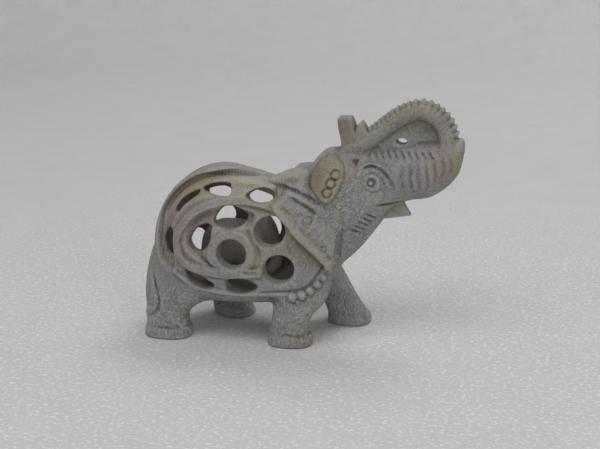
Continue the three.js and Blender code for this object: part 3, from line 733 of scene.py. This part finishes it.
def add_trunk(block):
    """The loop with its crest, the thin stone inside it, the tip and the lower lip."""
    add(block, *LOOP_ROOM, loop, 1.0)
    add(block, [14, -5, 56], [53, 5, 78], plate(crest_plan(), CREST_HALF, 0.3), 0.3)
    add(block, [20, -5, 54], [50, 5, 76], plate(plan_outline(WEB), WEB_HALF, 0.4), 1.1)
    tip, jaw = (plan_outline(points, smooth=False) for points in (TIP, JAW))
    add(block, [8, -6, 54], [26, 6, 72], plate(tip, TIP_HALF, 0.6), 0.6)
    add(block, [18, -7, 33], [39, 7, 49], plate(jaw, JAW_HALF, 0.5), 0.7)
    (x, z), (long, high) = WEB_HOLE_AT, WEB_HOLE
    hole = np.hypot((PLAN_X - x) / long, (PLAN_Z - z) / high) - 1
    block[:] = shared(block, -lift(hole) * high, 0.5)
    cut, _, y, _ = window(*LOOP_ROOM)
    block[cut] += lift(crest_marks()[cut[0], cut[2]]) * smooth_step(1.0, 2.2, np.abs(y))


def add_beads(block):
    for side, rows, part in BEAD_ROWS:
        for centre, radius in bead_places(side, rows, part):
            middle, room = np.array(centre), radius + 3
            add(block, middle - room, middle + room, ball(centre, radius), 0.25)


def add_side(block, side, lines):
    """The leaf, the brow, the eye and the ear of one side."""
    low, high = HALVES[side]
    cut, x, y, z = window([2, low, 40], [20, high, 63])
    grown = head(x, y, z, LEAF_RAISE) + lift(lines[cut[0], cut[2]])
    leaf = lift(plan_outline(LEAF)[cut[0], cut[2]])
    block[cut] = joined(block[cut], shared(grown, leaf, 0.6), 0.4)
    brow = [[bx, side * float(head_side(bx, bz)), bz] for bx, bz in curve(BROW, detail=3)]
    add_rod(block, brow, (EYE_RELIEF, EYE_RELIEF), 0.5)
    ex, ez = EYE
    add(block, [ex - EYE_ROOM, low, ez - EYE_ROOM], [ex + EYE_ROOM, high, ez + EYE_ROOM],
        eye(side), 0.4)
    cut, _, y, _ = window([16, low, 43], [36, high, 62])
    block[cut] += lift(face_carving(side)[cut[0], cut[2]]) * side_share(y, side)
    cut, x, y, z = window([-11, low, 20], [20, high, 60])
    flap = ear(side)(x, y, z) + lift(lines[cut[0], cut[2]])
    block[cut] = joined(block[cut], flap, 0.35)


def build_field():
    """The whole figurine as one distance field, in the order in which it is carved."""
    cuts = {side: carving(side) for side in SIDES}
    block = joined(pierced(body(cuts)), calf(), 0.8)
    add_trunk(block)
    add(block, [-10, -14, 38], [14, 14, 58], ball(NECK_MOUND, 1, NECK_MOUND_HALF), 2.4)
    add_rod(block, curve(TAIL, detail=3), TAIL_RADII, 0.5)
    add_beads(block)
    for side in SIDES:
        add_side(block, side, cuts[side])
    return np.clip(block, -FAR, FAR).astype(np.float32)


def blurred(field, radius):
    """Mean over a box of cells, along each axis in turn."""
    size = 2 * radius + 1
    for axis in range(3):
        ends = [(radius + 1, radius) if k == axis else (0, 0) for k in range(3)]
        padded = np.pad(field, ends, mode="edge")
        sums = np.cumsum(padded, axis=axis, dtype=np.float64)
        after = np.take(sums, range(size, sums.shape[axis]), axis=axis)
        before = np.take(sums, range(0, sums.shape[axis] - size), axis=axis)
        field = ((after - before) / size).astype(np.float32)
    return field


def sampled(field, points):
    """Values of a grid at points in the carving's millimetres."""
    place = (points - LOW) / VOXEL
    place = np.clip(place, 0, np.array(field.shape) - 1.001)
    cell = place.astype(int)
    part = place - cell
    value = 0
    for corner in np.ndindex(2, 2, 2):
        weight = np.prod([part[:, k] if corner[k] else 1 - part[:, k] for k in range(3)], axis=0)
        value = value + weight * field[tuple((cell + corner).T)]
    return value


def largest_part(count, faces):
    """Which points are in the largest connected part. The rest are closed bubbles in the stone."""
    label = np.arange(count)
    while True:
        least = label.copy()
        for corners in faces:
            lowest = label[corners].min(axis=1)
            for column in corners.T:
                np.minimum.at(least, column, lowest)
        least = least[least]
        if (least == label).all():
            return label == np.bincount(label).argmax()
        label = least


def mesh_of(name, points, faces):
    mesh = bpy.data.meshes.new(name)
    mesh.from_pydata(points.tolist(), [], [face.tolist() for part in faces for face in part])
    mesh.validate()
    return mesh


def thinned(mesh, most):
    """The mesh with its flattest edges collapsed, down to a number of triangles."""
    triangles = sum(len(p.vertices) - 2 for p in mesh.polygons)
    if triangles <= most:
        return mesh
    made = bpy.data.objects.new("thinning", mesh)
    bpy.context.scene.collection.objects.link(made)
    fewer = made.modifiers.new("fewer", "DECIMATE")
    fewer.ratio = most / triangles
    graph = bpy.context.evaluated_depsgraph_get()
    result = bpy.data.meshes.new_from_object(made.evaluated_get(graph))
    bpy.data.objects.remove(made)
    return result


def carve_elephant():
    """The mesh of the whole field, with the masks of its colours, painted shade and painted light
    as attributes.
    """
    field = build_field()
    grid = vdb.FloatGrid(background=FAR)
    grid.copyFromArray(field)
    points, triangles, quads = grid.convertToPolygons(isovalue=0, adaptivity=0)
    kept = largest_part(len(points), (triangles, quads))
    renumbered = np.cumsum(kept) - 1
    faces = [renumbered[corners[kept[corners[:, 0]]][:, ::-1]] for corners in (triangles, quads)]
    mesh = mesh_of("elephant_fine", points[kept] * VOXEL + LOW, faces)
    mesh = thinned(mesh, MOST_TRIANGLES)
    spots = np.empty(3 * len(mesh.vertices), np.float32)
    mesh.vertices.foreach_get("co", spots)
    spots = spots.reshape(-1, 3).astype(float)
    marks = masks(field, spots)
    spots[:, 0] += SHIFT
    low, high = (np.array(corner) / MM for corner in CAD_BOX)
    spots = np.clip(spots, low + INSET, high - INSET) * MM
    mesh.vertices.foreach_set("co", spots.astype(np.float32).ravel())
    for name, values in marks.items():
        layer = mesh.attributes.new(name, "FLOAT", "POINT")
        layer.data.foreach_set("value", values.astype(np.float32))
    mesh.shade_smooth()
    mesh.update()
    made = bpy.data.objects.new("elephant_fine", mesh)
    bpy.context.scene.collection.objects.link(made)
    return made


# Zones of the stone's colour, and one of painted light: how strong each is, its middle, and how
# far it reaches along x, y and z
ZONES = {
    "olive": [
        (0.85, (49, 0, 59), (3.4, 20, 6)), (0.5, (33, 0, 41), (4, 20, 4)),
        (0.45, (-22, -14, 50), (16, 10, 3)), (0.5, (-14, -18, 46), (8, 10, 3)),
        (0.5, (20, 0, 67), (3, 20, 4)), (0.4, (-6, -18, 33), (8, 10, 10)),
        (0.5, (36, 0, 73), (9, 20, 2.5)),
    ],
    "brown": [
        (1.1, (14.6, 0, 66.5), (2.6, 20, 5)), (0.6, (-32, -14, 47), (6, 12, 6)),
        (0.6, (-38, -12, 30), (3, 12, 6)), (0.4, (4, -18, 1.5), (4, 8, 3)),
        (0.6, (19.2, -8, 56.8), (1.6, 6, 1.4)),
    ],
    "brown loop": [(0.4, (36, 0, 69), (11, 20, 5))],
    "pink": [
        (0.8, (-31, -18, 37), (6, 10, 9)), (0.6, (-12, -18, 37), (8, 10, 8)),
        (0.8, (44.5, 0, 56.5), (2.6, 20, 5)), (0.5, (19, 0, 57.5), (3, 20, 3)),
    ],
    "pink neck": [(0.5, (5, -18, 33), (6, 10, 8))],
    "rough": [
        (0.65, (20, 0, 44), (9, 30, 14)), (0.4, (8, 0, 40), (7, 30, 12)),
        (0.3, (36, 0, 70), (14, 20, 4)),
    ],
    # Painted light: the downward-facing lower border of the cloth made lighter, for light bounced
    # up from the sheet
    "bounce_light": [(0.9, (-12, -17, 17.5), (18, 9, 2.2))],
}
EDGE_AND_CREASE_AT, DEEP_SHADE_AT = 0.35, 1.2             # mean distances that make an edge lighter, as wear and as painted highlight, and a cut dark, as painted shade
LEAST_ROUGH = 0.12


def zone(name, points):
    """How much of a zone there is at each point: its soft spots added up."""
    return sum(most * np.exp(-sum(((points[:, k] - middle[k]) / reach[k]) ** 2 for k in range(3)))
               for most, middle, reach in ZONES[name])


def masks(field, points):
    """How far wear and painted highlight lighten the stone at each point, how far painted shade
    darkens it, and how olive, brown, pink and rough it is.
    """
    radius = max(1, round(1.0 / VOXEL))
    # Means of the field near each point and over a wider box: below zero in creases and recesses,
    # which get painted shade, above zero on convex edges
    bend = sampled(blurred(field, radius), points)
    wide = sampled(blurred(field, 3 * radius), points)
    x, y, z = points.T
    out = np.abs(y)
    i, k = (np.clip((points[:, axis] - LOW[axis]) / VOXEL, 0, COUNT[axis] - 1).astype(int)
            for axis in (0, 2))
    rim, leaf, cut, channel = (plan[i, k] for plan in (
        plan_line(EAR_RIM)[0], plan_outline(LEAF), cut_plan(-1), plan_outline(CHANNEL)))

    near = smooth_step(0, 6, -y)
    shell = torso_side(x, z) - out
    inner = smooth_step(0.3, 2.0, shell) * ridge(np.minimum(cut, 3), 1.6) * (out > 6)
    ear_rim = near * (out > 9) * (x < 15) * ridge(rim, 1.9)
    on_leaf = near * smooth_step(0.6, -0.8, leaf) * (out > 4)
    high = smooth_step(0.4, -1.2, channel) * (out > 3) * smooth_step(30, 40, z)
    olive = (zone("olive", points) + 0.95 * ear_rim + 0.75 * on_leaf + 0.4 * high
             + 0.55 * inner * smooth_step(32, 44, z))
    brown = (zone("brown", points) + 0.55 * inner + 0.9 * on_leaf * smooth_step(13, 8, x)
             + zone("brown loop", points) * smooth_step(64, 67, z)
             + 0.3 * high * smooth_step(-14, -24, x))
    pink = zone("pink", points) + zone("pink neck", points) * (rim > 1)
    # Painted light: the walls inside the body's cavity are lightened, for light that reaches in
    # through the openings
    inside = smooth_step(WALL - 1.5, WALL - 0.4, shell)
    inside = inside * (x > -44) * (x < 9) * (z > 13) * (z < 50)
    rough = 0.45 + 0.55 * smooth_step(20, 13, z) + zone("rough", points)
    rough *= 1 - 0.6 * np.clip(olive + brown, 0, 1)
    # Convex edges are lighter partly as wear and partly as painted highlight, with painted
    # highlight on the ear's rim and the painted bounce light on the cloth's lower border
    found = {
        "wear_and_highlight": bend / EDGE_AND_CREASE_AT + ear_rim + zone("bounce_light", points), "hollow": -bend / EDGE_AND_CREASE_AT,
        "deep_shade": -wide / DEEP_SHADE_AT, "olive": olive, "brown": brown, "pink": pink,
        "ribs": smooth_step(0.2, -1.0, channel) * (out > 3), "inside": inside,
        "rough": np.maximum(rough, LEAST_ROUGH),
    }
    return {name: np.clip(values, 0, 1) for name, values in found.items()}


class Material:
    """A material whose nodes are made by short expressions, each giving its socket."""

    def __init__(self, name):
        self.made = bpy.data.materials.new(name)
        self.made.use_nodes = True
        self.tree = self.made.node_tree
        self.tree.nodes.clear()
        self.place = self.node("ShaderNodeTexCoord").outputs["Object"]

    def node(self, kind, values=None, **settings):
        """A node whose values are numbers, colours or the sockets of other nodes."""
        made = self.tree.nodes.new(kind)
        for key, value in settings.items():
            setattr(made, key, value)
        for key, value in (values or {}).items():
            if isinstance(value, bpy.types.NodeSocket):
                self.tree.links.new(value, made.inputs[key])
            else:
                made.inputs[key].default_value = value
        return made

    def noise(self, place, scale, detail=4, rough=0.55, warp=0.0):
        return self.node("ShaderNodeTexNoise", {
            "Vector": place, "Scale": scale, "Detail": detail, "Roughness": rough,
            "Distortion": warp}).outputs["Fac"]

    def ramp(self, source, low, high, to_low=0.0, to_high=1.0):
        return self.node("ShaderNodeMapRange", {
            "Value": source, "From Min": low, "From Max": high,
            "To Min": to_low, "To Max": to_high}).outputs["Result"]

    def times(self, a, b):
        return self.node("ShaderNodeMath", {0: a, 1: b}, operation="MULTIPLY").outputs[0]

    def plus(self, a, b):
        return self.node("ShaderNodeMath", {0: a, 1: b}, operation="ADD").outputs[0]

    def attribute(self, name):
        return self.node("ShaderNodeAttribute", attribute_name=name).outputs["Fac"]

    def mix(self, share, a, b, blend="MIX"):
        return self.node("ShaderNodeMix", {"Factor": share, "A": a, "B": b},
                         data_type="RGBA", blend_type=blend).outputs["Result"]

    def either(self, share, a, b):
        return self.node("ShaderNodeMix", {"Factor": share, "A": a, "B": b},
                         data_type="FLOAT").outputs["Result"]

    def finish(self, colour, height, strength, depth, surface):
        bump = self.node("ShaderNodeBump", {
            "Strength": strength, "Distance": depth, "Height": height})
        shader = self.node("ShaderNodeBsdfPrincipled", {
            **surface, "Base Color": colour, "Normal": bump.outputs["Normal"]})
        self.node("ShaderNodeOutputMaterial", {0: shader.outputs[0]})
        return self.made


GREY = (0.188, 0.185, 0.178, 1)
PALE = (0.285, 0.282, 0.273, 1)
OLIVE = (0.272, 0.250, 0.155, 1)
BROWN = (0.170, 0.128, 0.076, 1)
PINK = (0.262, 0.198, 0.172, 1)
# Painted light for the walls inside the body's cavity
PAINTED_INSIDE_LIGHT = (0.500, 0.455, 0.420, 1)
DARK = (0.075, 0.071, 0.063, 1)
# Light stone dust, also used for painted highlight on edges
DUST_AND_HIGHLIGHT = (0.470, 0.467, 0.460, 1)
# Zones that colour the stone, and the tints laid over its rasp marks with their strength
TONES = [("pink", PINK), ("brown", BROWN), ("olive", OLIVE)]
TINTS = [("olive", (0.93, 0.91, 0.74, 1), 0.75), ("brown", (0.76, 0.66, 0.53, 1), 0.8),
         ("pink", (0.98, 0.87, 0.82, 1), 0.7)]
# Masks that darken or lighten it, and how much: painted shade in creases and wide recesses, edges
# lightened partly by wear and partly as painted highlight, and painted light inside the body's
# cavity
SHADES = [("hollow", 0.8, DARK), ("deep_shade", 0.35, DARK), ("wear_and_highlight", 0.4, DUST_AND_HIGHLIGHT), ("inside", 0.65, PAINTED_INSIDE_LIGHT)]


def stone_material():
    """Cloudy grey stone with zones of colour, painted shade in the cuts, edges lightened by wear
    and by painted highlight, finely rasped.
    """
    stone = Material("soapstone")
    in_mm = stone.node("ShaderNodeVectorMath", {0: stone.place, 1: (1000, 1000, 1000)},
                       operation="MULTIPLY").outputs["Vector"]

    colour = stone.mix(stone.ramp(stone.noise(in_mm, 0.09, 5, 0.6, 0.6), 0.35, 0.68), GREY, PALE)
    clouds = stone.ramp(stone.noise(in_mm, 0.14, 5, 0.65, 1.4), 0.48, 0.66, 0, 0.55)
    colour = stone.mix(clouds, colour, OLIVE)
    blush = stone.ramp(stone.noise(in_mm, 0.11, 4, 0.6, 1.0), 0.56, 0.7, 0, 0.4)
    colour = stone.mix(blush, colour, PINK)
    patchy = stone.ramp(stone.noise(in_mm, 0.30, 4, 0.6, 0.8), 0.3, 0.56, 0.55, 1)
    for name, tone in TONES:
        colour = stone.mix(stone.times(stone.attribute(name), patchy), colour, tone)
    speckle = stone.ramp(stone.noise(in_mm, 2.6, 3, 0.7), 0.42, 0.62, 0.0, 0.28)
    colour = stone.mix(speckle, colour, DUST_AND_HIGHLIGHT)
    for name, most, shade in SHADES:
        colour = stone.mix(stone.times(stone.attribute(name), most), colour, shade)

    # Rasp marks: short strokes that change direction from place to place
    def strokes(turn, pitch, length):
        spin = stone.node("ShaderNodeMapping", {
            "Vector": in_mm, "Rotation": [math.radians(angle) for angle in turn],
            "Scale": (pitch, length, length)}, vector_type="TEXTURE")
        return stone.noise(spin.outputs["Vector"], 1.0, 3, 0.6, 0.35)

    rasp = strokes((0, 6, 0), 0.36, 1.3)
    cross = strokes((0, 72, 8), 0.40, 1.5)
    back = strokes((0, -32, -8), 0.40, 1.4)
    turned = stone.ramp(stone.noise(in_mm, 0.13, 2, 0.5, 0.5), 0.42, 0.56)
    hatch = stone.either(turned, rasp, cross)
    turned = stone.ramp(stone.noise(in_mm, 0.21, 2, 0.5, 0.9), 0.50, 0.60)
    hatch = stone.either(turned, hatch, back)
    wave = stone.node("ShaderNodeTexWave", {
        "Vector": in_mm, "Scale": 0.32, "Distortion": 0.5, "Detail": 1.0}, bands_direction="X")
    rib = stone.times(wave.outputs["Fac"], stone.attribute("ribs"))
    rough = stone.attribute("rough")
    ridges = stone.times(stone.ramp(hatch, 0.50, 0.66, 0, 0.85), rough)
    scratches = stone.times(stone.ramp(hatch, 0.48, 0.30, 0, 0.55), rough)
    pits = stone.ramp(stone.noise(in_mm, 1.3, 4, 0.75), 0.46, 0.32, 0, 0.5)
    for share, shade in ((ridges, DUST_AND_HIGHLIGHT), (scratches, DARK), (stone.times(rib, 0.40), DUST_AND_HIGHLIGHT),
                         (pits, DARK)):
        colour = stone.mix(share, colour, shade)
    for name, tint, most in TINTS:
        share = stone.times(stone.times(stone.attribute(name), patchy), most)
        colour = stone.mix(share, colour, tint, "MULTIPLY")
    grain = stone.noise(in_mm, 3.4, 4, 0.7)
    height = stone.plus(stone.times(hatch, rough), stone.times(grain, 0.35))
    height = stone.plus(height, stone.times(rib, 0.35))
    return stone.finish(colour, height, 0.6, 0.00035, {
        "Roughness": 0.78, "Specular IOR Level": 0.35, "Subsurface Weight": 0.06,
        "Subsurface Radius": (0.0016, 0.0013, 0.0009)})


def sheet_material():
    """White sheet with painted glints near the figurine."""
    sheet = Material("white_sheet")
    fine = sheet.noise(sheet.place, 760, 2, 0.5)
    broad = sheet.noise(sheet.place, 60, 4, 0.6)
    reach = sheet.node("ShaderNodeVectorMath", {0: sheet.place}, operation="LENGTH")
    near = sheet.ramp(reach.outputs["Value"], 0.10, 0.26, 1, 0)
    # Painted glints: small white spots, only near the figurine
    painted_glints = sheet.times(sheet.ramp(fine, 0.52, 0.72, 0, 0.7), near)
    cloud = sheet.mix(broad, (0.60, 0.59, 0.595, 1), (0.68, 0.67, 0.675, 1))
    colour = sheet.mix(painted_glints, cloud, (0.95, 0.95, 0.95, 1))
    return sheet.finish(colour, fine, 0.35, 0.001, {
        "Roughness": 0.8, "Specular IOR Level": 0.3})


# Stage, lights and camera
FLAT, BEND, WALL_TOP, TURNS, SINK = 0.55, 0.35, 1.6, 72, 0.0001


def backdrop():
    """A white sheet that lies flat and bends up behind the figurine, from wherever it is seen."""
    profile = [(FLAT, 0.0)]
    profile += [(FLAT + BEND * math.sin(a), BEND - BEND * math.cos(a))
                for a in np.linspace(0.1, math.pi / 2, 10)]
    profile.append((FLAT + BEND, WALL_TOP))
    angles = [2 * math.pi * turn / TURNS for turn in range(TURNS)]
    points = [(r * math.cos(a), r * math.sin(a), z) for r, z in profile for a in angles]
    points.append((0.0, 0.0, 0.0))
    faces = [(len(points) - 1, t, (t + 1) % TURNS) for t in range(TURNS)]
    for row in range(len(profile) - 1):
        for t in range(TURNS):
            a, b = row * TURNS + t, row * TURNS + (t + 1) % TURNS
            faces.append((a, a + TURNS, b + TURNS, b))
    mesh = bpy.data.meshes.new("sheet_floor")
    mesh.from_pydata(points, [], faces)
    mesh.shade_smooth()
    floor = bpy.data.objects.new("sheet_floor", mesh)
    floor.location.z = -SINK
    bpy.context.scene.collection.objects.link(floor)
    mesh.materials.append(sheet_material())


# Name, place, what it points at, size, power
LIGHTS = [
    ("key", (-0.12, -0.42, 0.75), (0, 0, 0.03), 0.6, 2.4),
    ("fill", (0.50, -0.60, 0.30), (0, 0, 0.03), 0.5, 1.1),
    ("back", (0.20, 0.5, 0.8), (0.1, 0.3, 0.03), 0.5, 2.2),
]


def area_light(name, place, target, size, watts):
    data = bpy.data.lights.new(name, "AREA")
    data.shape = "DISK"
    data.size, data.energy = size, watts
    light = bpy.data.objects.new(name, data)
    light.location = place
    light.rotation_euler = (Vector(target) - Vector(place)).to_track_quat("-Z", "Y").to_euler()
    bpy.context.scene.collection.objects.link(light)


AZIMUTH, ELEVATION, REACH = math.radians(13), math.radians(15), 0.450
AIM = Vector((-0.00154, 0, 0.0346))
LENS, SENSOR = 86.4, 36


def camera():
    data = bpy.data.cameras.new("camera")
    data.lens, data.sensor_width = LENS, SENSOR
    data.clip_start, data.clip_end = 0.01, 10
    made = bpy.data.objects.new("camera", data)
    level = math.cos(ELEVATION)
    back = Vector((math.sin(AZIMUTH) * level, -math.cos(AZIMUTH) * level, math.sin(ELEVATION)))
    made.location = AIM + back * REACH
    made.rotation_euler = (-back).to_track_quat("-Z", "Y").to_euler()
    bpy.context.scene.collection.objects.link(made)
    bpy.context.scene.camera = made


def sky(strength):
    world = bpy.data.worlds.new("studio")
    world.use_nodes = True
    world.node_tree.nodes["Background"].inputs[0].default_value = (0.97, 0.98, 1.0, 1)
    world.node_tree.nodes["Background"].inputs[1].default_value = strength
    bpy.context.scene.world = world


camera()
backdrop()
sky(0.42)
for light in LIGHTS:
    area_light(*light)
bpy.context.scene.view_settings.view_transform = "Standard"

elephant = carve_elephant()
elephant.data.materials.append(stone_material())
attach(elephant, "root")
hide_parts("elephant")
